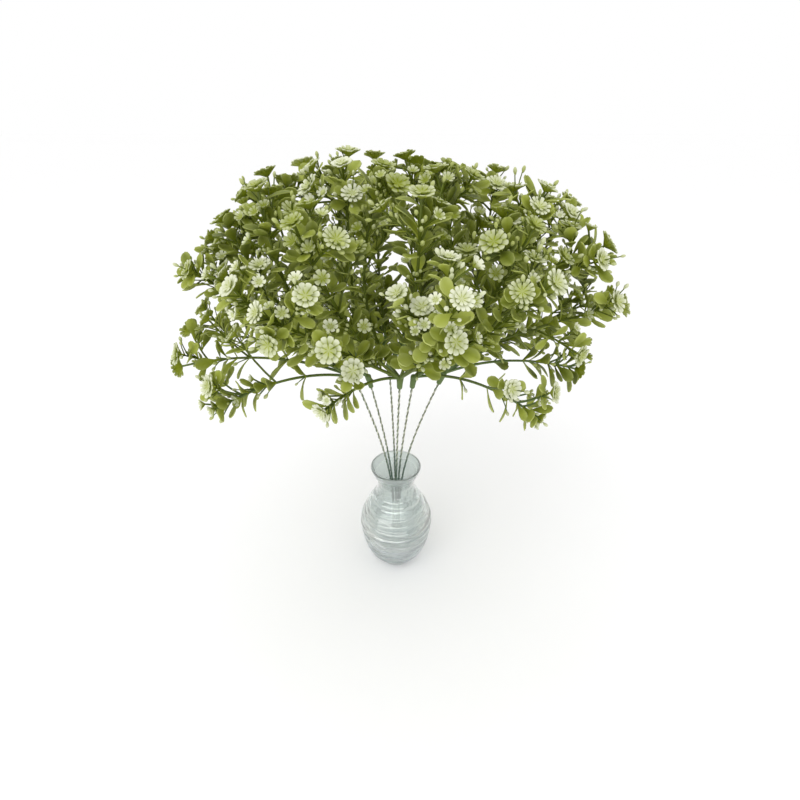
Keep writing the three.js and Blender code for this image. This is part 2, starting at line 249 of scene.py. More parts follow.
# Heads and leaves grow by a share of 1 for each such distance towards the back. This is a forced
# perspective for the camera in front. Real ones would be of one size.
DEPTH = 600
PIN_LENGTH = 13
PIN_LEAN = 50
BUD_RADIUS = 1.3
LEAF_BALLS = [(0.38, 0.26), (0.68, 0.42), (1, 0.27)]  # (share of length, share of width)
STALK_BALL = 1.2
STALK_SHARES = (0.3, 0.45, 0.6, 0.75, 0.9)
print(len(SPRAYS), "sprays of", len(SPRAYS[0][2]), "arms each")


# %% Directions, curves and the seeded draw
class Draw:
    """The row of numbers that the solid model draws from."""

    def __init__(self, seed):
        self.state = seed

    def number(self):
        self.state = (1664525 * self.state + 1013904223) % 2**32
        return self.state / 2**32

    def vary(self, share):
        return 1 + share * (2 * self.number() - 1)

    def shift(self, amount):
        return amount * (2 * self.number() - 1)


def unit(vector):
    return vector / np.linalg.norm(vector)


def direction(azimuth, elevation):
    turn, rise = math.radians(azimuth), math.radians(elevation)
    level = math.cos(rise)
    return np.array([math.cos(turn) * level, math.sin(turn) * level, math.sin(rise)])


def basis(along, face):
    """Columns side, up and along. Up is as near to the face direction as it can be."""
    side = unit(np.cross(face, along))
    return np.column_stack([side, np.cross(along, side), along])


def leaning(axes, turn, lean):
    """The direction that leans away from a frame's third axis, towards an angle round it."""
    return unit(axes @ direction(turn, 90 - lean))


class Bend:
    """A Bezier curve through its first and last point, drawn towards those between."""

    STEPS = 24

    def __init__(self, *points):
        self.points = [np.array(point, float) for point in points]

    def point(self, share):
        n = len(self.points) - 1
        weights = [math.comb(n, k) * share**k * (1 - share) ** (n - k) for k in range(n + 1)]
        return sum(weight * point for weight, point in zip(weights, self.points))

    def tangent(self, share):
        step = 0.0001
        return unit(self.point(min(1, share + step)) - self.point(max(0, share - step)))

    def length(self):
        steps = [self.point(k / self.STEPS) for k in range(self.STEPS + 1)]
        return sum(float(np.linalg.norm(b - a)) for a, b in zip(steps, steps[1:]))


def wire_bend(azimuth, end):
    def out(radius, height):
        return direction(azimuth, 0) * radius + np.array([0, 0, height])

    foot = out(WIRE_STANCE, VASE_FLOOR + WIRE_RADIUS + CLEARANCE)
    return Bend(foot, *(out(*pull) for pull in WIRE_PULLS), end)


print("a wire is", round(wire_bend(*SPRAYS[0][:2]).length()), "mm long")


# %% The room in a wedge
class Room:
    """What is left free in a spray's wedge. Balls stand for what is in it already."""

    def __init__(self, azimuth):
        self.inward = [direction(azimuth + side * (WEDGE / 2 - 90), 0) for side in (-1, 1)]
        self.centres = np.zeros((0, 3))
        self.radii = np.zeros(0)

    def apart(self, at, radius):
        gaps = np.linalg.norm(self.centres - at, axis=1) - self.radii
        return float(gaps.min()) - radius

    def around(self, at, radius):
        sides = [float(at @ inward) - WEDGE_GAP / 2 - radius for inward in self.inward]
        if at[1] < 0 and abs(at[0]) < APRON_HALF:
            sides.append(at[2] - APRON_HEIGHT + APRON_SLOPE * at[1] - radius)
        return min(*sides, self.apart(at, radius))

    def take(self, at, radius):
        self.centres = np.vstack([self.centres, at])
        self.radii = np.append(self.radii, radius)

    def keep_in(self, point, distance):
        for inward in self.inward * 2:
            point = point + inward * max(0.0, distance - float(point @ inward))
        return point


# %% The plan of a spray
draw = Draw(7)


def dome_point(azimuth, elevation, reach):
    rise = math.radians(elevation)
    fullness = abs(math.cos(rise)) ** DOME_FULLNESS + abs(math.sin(rise)) ** DOME_FULLNESS
    share = reach / fullness ** (1 / DOME_FULLNESS)
    return direction(azimuth, elevation) * DOME * share + DOME_CENTRE


def deeper(at):
    return 1 + at[1] / DEPTH


def head_ball(head):
    lift, size = (share * head["radius"] for share in HEAD_BALL)
    return head["end"] + head["along"] * lift, size


def plan_head(end, heading, radius):
    """A head is turned between its stalk's direction and straight out of the dome."""
    along = unit(heading + unit(end - DOME_CENTRE) * HEAD_OUTWARD)
    return {"kind": "head", "end": end, "along": along, "radius": radius}


def plan_arm(room, hub, azimuth, elevation, reach):
    aim = (azimuth + draw.shift(2), elevation + draw.shift(2), reach * draw.vary(0.02))
    tip = dome_point(*aim)
    size = HEAD_RADIUS * deeper(tip) * draw.vary(0.1)
    tip = room.keep_in(tip, HEAD_ROOM * size)
    chord = tip - hub
    length = float(np.linalg.norm(chord))
    rise = math.degrees(math.asin(chord[2] / length))
    heading = math.degrees(math.atan2(chord[1], chord[0]))
    leaving = direction(heading, rise + ARM_ARCH * (1 - rise / ARM_UNARCHED))
    curve = Bend(hub, hub + leaving * (length / 2), tip)
    turn = 360 * draw.number()
    head = plan_head(tip, curve.tangent(1), size)
    for step in range(4, ARM_STEPS):
        room.take(curve.point(step / ARM_STEPS), ARM_RADIUS[0])
    room.take(*head_ball(head))
    return {"curve": curve, "level": direction(heading + 90, 0), "turn": turn, "head": head}


def plan_branchlet(room, root, axes, turn, length):
    reach = length * draw.vary(0.12)
    radius = HEAD_RADIUS * deeper(root) * draw.vary(0.1)
    best = None
    for side in range(4):
        for lean in BRANCHLET_LEANS:
            heading = leaning(axes, turn + 90 * side + 45, lean + draw.shift(6))
            head = plan_head(root + heading * reach, heading, radius)
            stalk = [root + (head["end"] - root) * share for share in STALK_SHARES]
            fits = room.around(*head_ball(head)) > 0
            fits = fits and all(room.around(point, STALK_BALL) > 0 for point in stalk)
            worth = room.apart(*head_ball(head)) + UPWARD * heading[2]
            if fits and (best is None or worth > best[0]):
                best = (worth, side, head, stalk)
    return best


def plan_leaf(room, root, axes, turn, size):
    along = leaning(axes, turn + draw.shift(14), LEAF_LEAN + draw.shift(9))
    length = LEAF_LENGTH * size * deeper(root) * draw.vary(0.14)
    balls = [(root + along * (share * length), r * LEAF_WIDTH) for share, r in LEAF_BALLS]
    gap = min(room.around(*ball) for ball in balls)
    return {"kind": "leaf", "along": along, "length": length, "balls": balls, "gap": gap}


def plan_pin(room, root, axes, turn):
    along = leaning(axes, turn + draw.shift(14), PIN_LEAN + draw.shift(12))
    end = root + along * (PIN_LENGTH * draw.vary(0.15))
    gap = room.around(end, BUD_RADIUS + 0.5)
    return {"kind": "bud", "end": end, "along": along, "gap": gap}


def plan_whorl(room, arm, turn, at, leaves, size, branchlets):
    root, tangent = arm["curve"].point(at), arm["curve"].tangent(at)
    axes = basis(tangent, arm["level"])
    shoots = [None] * 4
    for length in branchlets:
        best = plan_branchlet(room, root, axes, turn, length)
        if best and not shoots[best[1]]:
            _, side, shoots[side], stalk = best
            room.take(*head_ball(shoots[side]))
            for point in stalk:
                room.take(point, STALK_BALL)
    for side in range(4):
        leaf = plan_leaf(room, root, axes, turn + 90 * side + 45, size)
        if not shoots[side] and leaves > 0 and leaf["gap"] > 0:
            shoots[side] = leaf
            leaves -= 1
            for ball in leaf["balls"]:
                room.take(*ball)
    for side in range(4):
        pin = plan_pin(room, root, axes, turn + 90 * side + 45)
        if not shoots[side] and pin["gap"] > 0:
            shoots[side] = pin
            room.take(pin["end"], BUD_RADIUS)
            break
    return {"root": root, "tangent": tangent, "shoots": [s for s in shoots if s]}


def plan_spray(azimuth, wire_end, aims):
    wire = wire_bend(azimuth, wire_end)
    socket_top = SOCKET_LENGTH - SOCKET_DEPTH
    hub = wire.point(1) + wire.tangent(1) * (socket_top - ARM_ROOT)
    room = Room(azimuth)
    arms = [plan_arm(room, hub, *aim) for aim in aims]
    for arm in arms:
        turns = [arm["turn"] + WHORL_TURN * n for n in range(len(WHORLS))]
        arm["whorls"] = [plan_whorl(room, arm, turn, *w) for turn, w in zip(turns, WHORLS)]
    return {"wire": wire, "arms": arms, "room": room}


plans = [plan_spray(*spray) for spray in SPRAYS]
shoots = [s for plan in plans for arm in plan["arms"] for w in arm["whorls"] for s in w["shoots"]]
counts = {kind: sum(s["kind"] == kind for s in shoots) for kind in ("head", "leaf", "bud")}
print("on the arms' sides grow", counts)

# %% [markdown]
# ## Filling out the bunch
# The solids hold the large leaves and heads only. The real sprays are far denser: every arm and
# branchlet also has leaves in pairs, pins with a bud at the end, and here and there a small head
# that is half open. A second draw puts them where there is still room among all six sprays. They
# crowd: a leaf may reach up to 2 mm into its neighbour.

# %% Finding room for a finer shoot
FINE_SEED = 26
FINE_LEAF_BALLS = [(0.45, 0.2), (0.8, 0.34)]
FINE_BUD_ROOM = 1.5
# (choices tried, angles round the stem, angles off it, liking for outward and for upward)
FINE_WAYS = {
    "leaf": (6, (-25, 25), (38, 72), 0, 3),
    "head": (10, (0, 360), (26, 62), 5, 4),
    "bud": (6, (0, 360), (14, 46), 6, 0),
}
SLACK = {"leaf": 2.0, "head": 0.8, "bud": 0.2}  # how far a finer shoot may reach into another
LOWEST = 203  # the finer shoots keep above this height
SKIRT = 229  # and above this one over the axis, which is higher in front and lower behind
SKIRT_SLOPE = 0.475
CORE = {"leaf": 1.05, "head": 1.0, "bud": 1.1}  # how far out they go, as a share of the dome
CORE_TAPER = 0.16  # how much less far they go at the bottom of the dome
WIDEST = 163  # and never further from the axis than this

fine = random.Random(FINE_SEED)
crowd = Room(0)
crowd.centres = np.vstack([plan["room"].centres for plan in plans])
crowd.radii = np.concatenate([plan["room"].radii for plan in plans])


def reach_of(point):
    """How far out of the dome's middle a point is, as a share of the way to its surface."""
    x, y, z = (point - DOME_CENTRE) / DOME
    return (math.hypot(x, y) ** DOME_FULLNESS + abs(z) ** DOME_FULLNESS) ** (1 / DOME_FULLNESS)


def above_skirt(point):
    return point[2] > max(LOWEST, SKIRT - SKIRT_SLOPE * point[1])


def in_core(point, kind):
    """The rim of the bunch is left to the main shoots, and so is the gap where the wires show."""
    below = max(0.0, (DOME_CENTRE[2] - point[2]) / (DOME_CENTRE[2] - LOWEST))
    return reach_of(point) < CORE[kind] - CORE_TAPER * below and above_skirt(point)


def roomiest(choices, hanging):
    """The choice with the most room. Only an arm that hangs below the skirt has any there."""
    fits = [choice for choice in choices if choice["gap"] > -SLACK[choice["kind"]]]
    fits = [choice for choice in fits if math.hypot(*choice["end"][:2]) < WIDEST]
    fits = [choice for choice in fits if hanging or in_core(choice["end"], choice["kind"])]
    return max(fits, key=lambda choice: choice["gap"] + choice["bias"], default=None)


def fine_axes(tangent):
    return basis(tangent, direction(fine.uniform(0, 360), 0))


def ways(kind, root, axes, turn=0):
    """The directions that a finer shoot tries, each with how well it is liked."""
    tries, turns, leans, outward, upward = FINE_WAYS[kind]
    for _ in range(tries):
        along = leaning(axes, turn + fine.uniform(*turns), fine.uniform(*leans))
        yield along, outward * float(along @ unit(root - DOME_CENTRE)) + upward * along[2]


def leaf_choices(root, axes, length, turn):
    for along, bias in ways("leaf", root, axes, turn):
        balls = [(root + along * (s * length), r * LEAF_WIDTH) for s, r in FINE_LEAF_BALLS]
        leaf = {"kind": "leaf", "along": along, "length": length, "end": root + along * length}
        gap = min(crowd.apart(*ball) for ball in balls)
        yield {**leaf, "balls": balls, "gap": gap, "bias": bias}


def head_choices(root, axes, length, radius):
    for along, bias in ways("head", root, axes):
        head = plan_head(root + along * length, along, radius)
        ball = head_ball(head)
        yield {**head, "small": True, "balls": [ball], "gap": crowd.apart(*ball), "bias": bias}


def bud_choices(root, axes, length):
    for along, bias in ways("bud", root, axes):
        end = root + along * length
        bud = {"kind": "bud", "along": along, "end": end, "balls": [(end, BUD_RADIUS)]}
        yield {**bud, "gap": crowd.apart(end, FINE_BUD_ROOM), "bias": bias}


# %% Growing a spray in full
# Between the solid model's whorls, as shares of an arm's length.
ARM_NODES = [0.18, 0.24, 0.3, 0.35, 0.46, 0.51, 0.56, 0.68, 0.73, 0.79, 0.88, 0.92, 0.96]
STALK_NODES = [0.35, 0.55, 0.72, 0.86]
STALK_RADIUS = (0.85, 0.6)
PIN_RADIUS = (0.5, 0.32)
SMALL_HEAD = (3.6, 5.2)
ARM_LEAF = (16, 23)
STALK_LEAF = (13, 19)
BARE = 0.6  # a hanging arm is bare up to this share of its length
HEAD_SHARE = [(0.45, 0), (0.75, 0.28), (1, 0.9)]  # nodes up to here with so many small heads
STALK_SHARE = 0.25
STALK_BOW = 0.08  # of its length
NODE_SHIFT = 0.02
HEAD_STALK = (8, 18)
FINE_PIN = (8, 19)
PINS = 2  # at each node, where there is room


class Spray:
    """What one spray is made of: stems, and the places of its leaves, heads and buds."""

    def __init__(self, number, plan):
        self.wire = plan["wire"]
        self.arms = []
        self.twigs = []
        self.leaves = []
        self.heads = []
        self.buds = []
        for arm_number, arm in enumerate(plan["arms"]):
            self.tone = tones.uniform(*tone_span(number, arm_number))
            self.arms.append((arm["curve"], self.tone))
            self.heads.append((arm["head"], self.tone))
            for whorl in arm["whorls"]:
                for shoot in whorl["shoots"]:
                    self.add(whorl["root"], whorl["tangent"], shoot)

    def add(self, root, tangent, shoot):
        if shoot["kind"] == "leaf":
            self.leaves.append((root, tangent, shoot, self.tone))
        elif shoot["kind"] == "head":
            self.stalk(root, tangent, shoot["end"], STALK_RADIUS)
            self.heads.append((shoot, self.tone))
        else:
            self.stalk(root, tangent, shoot["end"], PIN_RADIUS)
            self.buds.append((shoot, self.tone))

    def stalk(self, root, tangent, end, radii):
        """A stalk leaves its stem a little more steeply than it ends."""
        length = float(np.linalg.norm(end - root))
        bend = Bend(root, (root + end) / 2 + tangent * (STALK_BOW * length), end)
        self.twigs.append((bend, radii, self.tone))

    def grow(self, root, tangent, choices):
        shoot = roomiest(choices, self.hanging)
        if shoot:
            self.add(root, tangent, shoot)
            for ball in shoot["balls"]:
                crowd.take(*ball)

    def fill(self):
        stalks = [twig for twig in self.twigs if twig[1] is STALK_RADIUS]
        for curve, self.tone in self.arms:
            self.hanging = not above_skirt(curve.point(1))
            for node in ARM_NODES:
                at = node + fine.uniform(-NODE_SHIFT, NODE_SHIFT)
                share = next(share for end, share in HEAD_SHARE if at < end)
                self.fill_node(curve, at, ARM_LEAF, share)
        for curve, _, self.tone in stalks:
            self.hanging = not above_skirt(curve.point(0))
            for node in STALK_NODES:
                self.fill_node(curve, node, STALK_LEAF, STALK_SHARE)

    def fill_node(self, curve, at, leaf_length, head_share):
        if self.hanging and at < BARE:
            return
        root, tangent = curve.point(at), curve.tangent(at)
        axes = fine_axes(tangent)
        turn = fine.uniform(0, 360)
        if fine.random() < head_share:
            sizes = fine.uniform(*HEAD_STALK), fine.uniform(*SMALL_HEAD)
            self.grow(root, tangent, head_choices(root, axes, *sizes))
        for side in (0, 180):
            length = fine.uniform(*leaf_length) * deeper(root)
            self.grow(root, tangent, leaf_choices(root, axes, length, turn + side))
        for _ in range(PINS):
            self.grow(root, tangent, bud_choices(root, axes, fine.uniform(*FINE_PIN)))


TONE_SEED = 3
PALE_ARMS = {(1, 4), (1, 5), (2, 4), (3, 4), (4, 3), (4, 6), (5, 0), (5, 3), (6, 1)}  # cream
HALF_ARMS = {  # (spray, arm) that came out between olive and cream
    (3, 1), (3, 6), (4, 0), (4, 1), (4, 2), (5, 1), (5, 2), (6, 0), (6, 2), (6, 3), (6, 5),
}
PALE_TONE, HALF_TONE, OLIVE_TONE = (0.65, 0.9), (0.35, 0.55), (0, 0.25)
tones = random.Random(TONE_SEED)


def tone_span(spray_number, arm_number):
    place = (spray_number, arm_number)
    if place in PALE_ARMS:
        return PALE_TONE
    return HALF_TONE if place in HALF_ARMS else OLIVE_TONE


sprays = [Spray(number, plan) for number, plan in enumerate(plans, 1)]
for spray in sprays:
    spray.fill()
    lists = (spray.twigs, spray.leaves, spray.heads, spray.buds)
    print("twigs, leaves, heads, buds:", [len(each) for each in lists])

# %% [markdown]
# ## Working in edit mode from code
# Each plain part is modelled the way it would be by hand: a primitive is added, some of it is
# selected, and it is extruded, resized and moved. These few helpers do the selecting.


# %% Helpers for modelling
def hold(*pieces):
    """Selects these pieces and nothing else. The first one is the active one."""
    bpy.ops.object.select_all(action="DESELECT")
    for piece in pieces:
        piece.select_set(True)
    bpy.context.view_layer.objects.active = pieces[0]


def edit(action="SELECT"):
    """Goes to edit mode with everything selected, or with nothing."""
    bpy.ops.object.mode_set(mode="EDIT")
    bpy.ops.mesh.select_mode(type="VERT")
    bpy.ops.mesh.select_all(action=action)


def leave():
    bpy.ops.object.mode_set(mode="OBJECT")


def choose(piece, wanted):
    """Goes to edit mode with only these vertices selected."""
    edit("DESELECT")
    leave()
    for number in wanted:
        piece.data.vertices[number].select = True
    bpy.ops.object.mode_set(mode="EDIT")


def mark(piece, name, rule=lambda x, y, z: 0):
    """Keeps a number at each point, worked out from its place in millimetres."""
    attribute = piece.data.attributes.new(name, "FLOAT", "POINT")
    for item, vertex in zip(attribute.data, piece.data.vertices):
        item.value = rule(*(vertex.co / MM))


def apply(piece, modifier):
    hold(piece)
    bpy.ops.object.modifier_apply(modifier=modifier.name)


def thicken(piece, thickness):
    """Gives a sheet its thickness, half on each side."""
    modifier = piece.modifiers.new("thickness", "SOLIDIFY")
    modifier.thickness = thickness * MM
    modifier.offset = 0
    apply(piece, modifier)


def smooth(piece, angle=45):
    hold(piece)
    bpy.ops.object.shade_smooth_by_angle(angle=math.radians(angle))


def blade(name, rows, trough, thickness):
    """A thin blade along +Y that faces +Z, shaped row by row from a grid.

    A row is (distance along, half width, lift), in millimetres, and trough is how far the middle
    lies below the edges, as a share of the half width."""
    bpy.ops.mesh.primitive_grid_add(x_subdivisions=2, y_subdivisions=len(rows) - 1, size=2 * MM)
    piece = bpy.context.object
    piece.name = name
    for number, (reach, half, lift) in enumerate(rows):
        row = [3 * number + k for k in range(3)]
        at = piece.data.vertices[row[0]].co.y
        choose(piece, row)
        bpy.ops.transform.resize(value=(half, 1, 1))
        bpy.ops.transform.translate(value=(0, reach * MM - at, lift * MM))
        leave()
        choose(piece, row[1:2])
        bpy.ops.transform.translate(value=(0, 0, -trough * half * MM))
        leave()
    mark(piece, "rim", lambda x, y, z: abs(x) / half_width_at(rows, y))
    thicken(piece, thickness)
    return piece


def half_width_at(rows, reach):
    reaches = [row[0] for row in rows]
    return float(np.interp(reach, reaches, [row[1] for row in rows]))


def turned(name, profile, sides):
    """A turned form, drawn up from a circle ring by ring. A point is (radius, height).

    Both ends are closed by triangles that meet in the middle."""
    radius, height = profile[0]
    bpy.ops.mesh.primitive_circle_add(vertices=sides, radius=radius * MM)
    piece = bpy.context.object
    piece.name = name
    edit()
    bpy.ops.transform.translate(value=(0, 0, height * MM))
    for next_radius, next_height in profile[1:]:
        rise = {"value": (0, 0, (next_height - height) * MM)}
        bpy.ops.mesh.extrude_region_move(TRANSFORM_OT_translate=rise)
        share = next_radius / radius
        bpy.ops.transform.resize(value=(share, share, 1))
        radius, height = next_radius, next_height
    bpy.ops.mesh.edge_face_add()
    bpy.ops.mesh.poke()
    leave()
    choose(piece, range(sides))
    bpy.ops.mesh.edge_face_add()
    bpy.ops.mesh.poke()
    bpy.ops.mesh.select_all(action="SELECT")
    bpy.ops.mesh.normals_make_consistent(inside=False)
    leave()
    return piece


def joined(name, *pieces):
    hold(*pieces)
    if len(pieces) > 1:
        bpy.ops.object.join()
    pieces[0].name = name
    return pieces[0]


# %% [markdown]
# ## The leaf
# A leaf is a spoon: a long narrow foot that widens late to a round end, and bends back there. It
# is 0.6 mm thick, with a shallow trough along its middle. Three of them, bent differently, keep
# the eye from seeing one leaf repeated.

# %% Leaves
LEAF_ROWS = [
    (0, 0.5, 0), (3.6, 0.8, 0.2), (7.2, 2.2, 0.3), (10.8, 3.9, 0), (14, 4.4, -0.8),
    (16.7, 3.3, -1.9), (18.2, 1.4, -2.7),
]
LEAF_THICKNESS = 0.6
LEAF_NARROWING = 0.7  # a small leaf is wider for its length than a large one


def leaf(name, bend, trough):
    rows = [(reach, half, lift * bend) for reach, half, lift in LEAF_ROWS]
    piece = blade(name, rows, trough, LEAF_THICKNESS)
    mark(piece, "reach", lambda x, y, z: y / LEAF_LENGTH)
    smooth(piece)
    return piece


leaf_shapes = [
    leaf("flat_leaf", 0.6, 0.1), leaf("bent_leaf", 1.1, 0.22), leaf("cupped_leaf", -0.5, 0.3),
]
print("a leaf has", len(leaf_shapes[0].data.polygons), "faces")

# %% [markdown]
# ## The flower head
# A head is one moulding: a shallow disc on a small cone, cut into blunt lobes half of the way in,
# with a second, steeper disc in its middle. Each disc is drawn up from a circle that has four
# points for each lobe: one in the slit and three on the lobe. The slit points are pulled in and
# down, which leaves a pleat that runs on to the middle. Then every lobe gets a length and a lift
# of its own, because soft plastic never leaves the mould quite even. Only the top is pale.


# %% A lobed disc
def shift(piece, numbers, size, lift, turn=0.0):
    """Resizes, lifts and turns these vertices about the piece's axis."""
    choose(piece, numbers)
    bpy.ops.transform.resize(value=(size, size, 1), center_override=(0, 0, 0))
    bpy.ops.transform.rotate(value=turn, orient_axis="Z", center_override=(0, 0, 0))
    bpy.ops.transform.translate(value=(0, 0, lift * MM))
    leave()


def lobed(name, lobes, rings, open_share=1.0):
    """A disc with lobes. A ring is (radius, height, depth of its slits, drop there, paint)."""
    sides = 4 * lobes
    piece = turned(name, [ring[:2] for ring in rings], sides)
    cut = [number for number, ring in enumerate(rings) if ring[2] > 0]
    turn = CORNER_TURN * math.tau / lobes
    for number in cut:
        depth, drop = (open_share * size for size in rings[number][2:4])
        first, end = number * sides, (number + 1) * sides
        shift(piece, range(first, end, 4), 1 - depth, -drop)
        shift(piece, range(first + 1, end, 4), CORNER_SIZE, 0, turn)
        shift(piece, range(first + 3, end, 4), CORNER_SIZE, 0, -turn)
    for lobe in range(lobes):
        own = [number * sides + 4 * lobe + k for number in cut for k in (1, 2, 3)]
        shift(piece, own, uneven.uniform(*LOBE_SIZES), uneven.uniform(*LOBE_LIFTS) * HEAD_RADIUS)
    paint = [ring[4] for ring in rings for _ in range(sides)] + [rings[-1][4], 0.0]
    slits = [float(k % 4 == 0) for k in range(sides * len(rings))] + [0.0, 0.0]
    for name, values in (("paint", paint), ("rim", slits)):
        piece.data.attributes.new(name, "FLOAT", "POINT").data.foreach_set("value", values)
    return piece


# %% Flower heads
LOBE_SEED = 2
uneven = random.Random(LOBE_SEED)
R = HEAD_RADIUS
LOBE_SIZES = (0.88, 1)
LOBE_LIFTS = (-0.06, 0.08)
CORNER_SIZE = 0.96
CORNER_TURN = 0.07  # of a lobe's width
OUTER_DISC = [
    (0.14 * R, 0.02 * R, 0, 0, 0), (0.5 * R, 0.26 * R, 0, 0, 0), (R, 0.46 * R, 0.5, 0.1 * R, 0.3),
    (0.99 * R, 0.53 * R, 0.5, 0.09 * R, 0.8), (0.42 * R, 0.37 * R, 0, 0, 0.35),
]
INNER_DISC = [
    (0.1 * R, 0.22 * R, 0, 0, 0.1), (0.58 * R, 0.54 * R, 0.45, 0.1 * R, 0.2),
    (0.59 * R, 0.61 * R, 0.45, 0.1 * R, 0.5), (0.2 * R, 0.47 * R, 0, 0, 0.3),
]
LITTLE_DISC = [
    (0.1 * R, -0.1 * R, 0, 0, 0), (0.93 * R, 0.66 * R, 0.45, 0.2 * R, 0.3),
    (0.95 * R, 0.78 * R, 0.45, 0.2 * R, 0.9), (0.3 * R, 0.4 * R, 0, 0, 0.3),
]
CONE = [(0.6, -1.6), (0.62, 0), (0.26 * R, 0.14 * R)]


def cone(name):
    piece = turned(name, CONE, 8)
    mark(piece, "paint")
    mark(piece, "rim")
    return piece


def head(name, outer, inner, open_share):
    discs = [lobed("outer", outer, OUTER_DISC, open_share), lobed("inner", inner, INNER_DISC)]
    piece = joined(name, cone(name), *discs)
    smooth(piece, 50)
    return piece


head_shapes = [
    head("open_head", 12, 7, 1.0), head("full_head", 14, 8, 0.7), head("tight_head", 11, 6, 0.4),
]
little_head = joined("little_head", cone("little_head"), lobed("little", 7, LITTLE_DISC))
smooth(little_head, 50)
print("a head has", [len(shape.data.polygons) for shape in [*head_shapes, little_head]], "faces")

# %% [markdown]
# ## The bud
# A bud is a small closed egg with a point. It is turned, with six sides.

# %% Buds
BUD_PROFILE = [(0.34, -4.2), (0.9, -3.2), (1.3, -1.9), (1.05, -0.7), (0.45, 0.1)]

bud_shape = turned("bud_shape", BUD_PROFILE, 6)
mark(bud_shape, "rim")
mark(bud_shape, "reach", lambda x, y, z: (z + 4.2) / 4.5)
smooth(bud_shape, 80)
print("a bud has", len(bud_shape.data.polygons), "faces")

# %% [markdown]
# ## The socket
# The wire is pushed into a short cup, and the arms of the spray fork from its upper end.

# %% Sockets
BORE = 1.3
SOCKET_PROFILE = [
    (BORE, -5), (BORE, -8), (1.9, -8.1), (2.2, -7.4), (2.5, -2), (2.9, 2.4), (2.6, 3.8),
    (1.3, 4.6),
]

socket_shape = turned("socket_shape", SOCKET_PROFILE, 12)
mark(socket_shape, "rim")
smooth(socket_shape, 60)
print("a socket has", len(socket_shape.data.polygons), "faces")

# %% [markdown]
# ## Finishes
# Everything on a spray is one kind of soft plastic, dyed olive and sprayed pale at the tips. So
# each finish mixes a few colours by what was kept at each point: how far out it lies, how near a
# rim it is, and how pale its own copy came out. A leaf's edges are paler too, as a painted
# highlight. A little noise breaks up the dye.

# %% Colours of the plastic
DEEP_OLIVE = srgb(80, 93, 0)
OLIVE = srgb(126, 138, 16)
FRESH_OLIVE = srgb(156, 167, 42)
PALE_OLIVE = srgb(190, 198, 122)
CREAM = srgb(230, 233, 208)
STEM_OLIVE = srgb(104, 118, 26)
SAGE = srgb(104, 130, 88)


def leaf_finish():
    made = Material("leaf_plastic")
    rim, tone = made.attribute("rim").size(), made.attribute("tone")
    reach = made.attribute("reach")
    cloud = made.noise(made.place(), 90.0)
    colour = made.mix((cloud * 0.7 + tone * 0.6).step(0.3, 0.95), DEEP_OLIVE, FRESH_OLIVE)
    colour = made.mix(tone.step(0.5, 1.1) * 0.35, colour, PALE_OLIVE)
    # Towards the tip the leaf is sprayed pale, and along its edges it is made paler as a painted
    # highlight.
    colour = made.mix((rim * 0.4 + reach * 0.6) ** 3.0 * (0.35 + tone * 0.6), colour, PALE_OLIVE)
    return made.finish(colour, 0.55, cloud, 0.0002, Specular_IOR_Level=0.2)


def flower_finish():
    made = Material("flower_plastic")
    rim, tone = made.attribute("rim").size(), made.attribute("tone")
    paint = made.attribute("paint")
    cloud = made.noise(made.place(), 140.0)
    colour = made.mix((cloud + tone * 0.4).step(0.3, 0.9), OLIVE, FRESH_OLIVE)
    frost = (paint * (0.4 + tone) + cloud * 0.4 - rim * 0.35 - 0.1).step(0.05, 0.95)
    colour = made.mix(frost, colour, CREAM)
    return made.finish(colour, 0.6, cloud, 0.0002, Specular_IOR_Level=0.2)


def bud_finish():
    made = Material("bud_plastic")
    reach, tone = made.attribute("reach"), made.attribute("tone")
    colour = made.mix((reach * 0.5 + tone - 0.3).step(0.0, 1.2) * 0.6 + 0.2, FRESH_OLIVE, CREAM)
    return made.finish(colour, 0.5, Specular_IOR_Level=0.2)


def stem_finish():
    made = Material("stem_plastic")
    place = made.place()
    height = made.height(place)
    cloud = made.noise(place, 60.0)
    colour = made.mix(cloud.step(0.3, 0.75), DEEP_OLIVE, STEM_OLIVE)
    colour = made.mix(height.step(0.25, 0.215) * 0.6, colour, SAGE)
    return made.finish(colour, 0.5, cloud, 0.0003, Specular_IOR_Level=0.25)


leaf_plastic = leaf_finish()
flower_plastic = flower_finish()
bud_plastic = bud_finish()
stem_plastic = stem_finish()
for shape in leaf_shapes:
    shape.data.materials.append(leaf_plastic)
for shape in head_shapes:
    shape.data.materials.append(flower_plastic)
little_head.data.materials.append(flower_plastic)
bud_shape.data.materials.append(bud_plastic)
socket_shape.data.materials.append(stem_plastic)
print("four finishes for the sprays")


# %% Copying a shape to its places
def placing(at, axes, across, along, swap):
    """The matrix that puts a shape at a point. Leaves lie along +Y, heads stand along +Z."""
    side, up, forward = axes.T
    columns = [-side * across, forward * along, up * along] if swap else [
        side * across, up * across, forward * along]
    matrix = Matrix.Identity(4)
    for k, column in enumerate([*columns, at * MM]):
        for row in range(3):
            matrix[row][k] = column[row]
    return matrix


def copies(name, places):
    """Joins copies of shapes in one piece. A place is (shape, matrix, tone)."""
    made = []
    for shape, matrix, tone in places:
        mesh = shape.data.copy()
        mesh.transform(matrix)
        attribute = mesh.attributes.new("tone", "FLOAT", "POINT")
        attribute.data.foreach_set("value", np.full(len(mesh.vertices), tone, np.float32))
        made.append(put(name, mesh))
    return joined(name, *made)


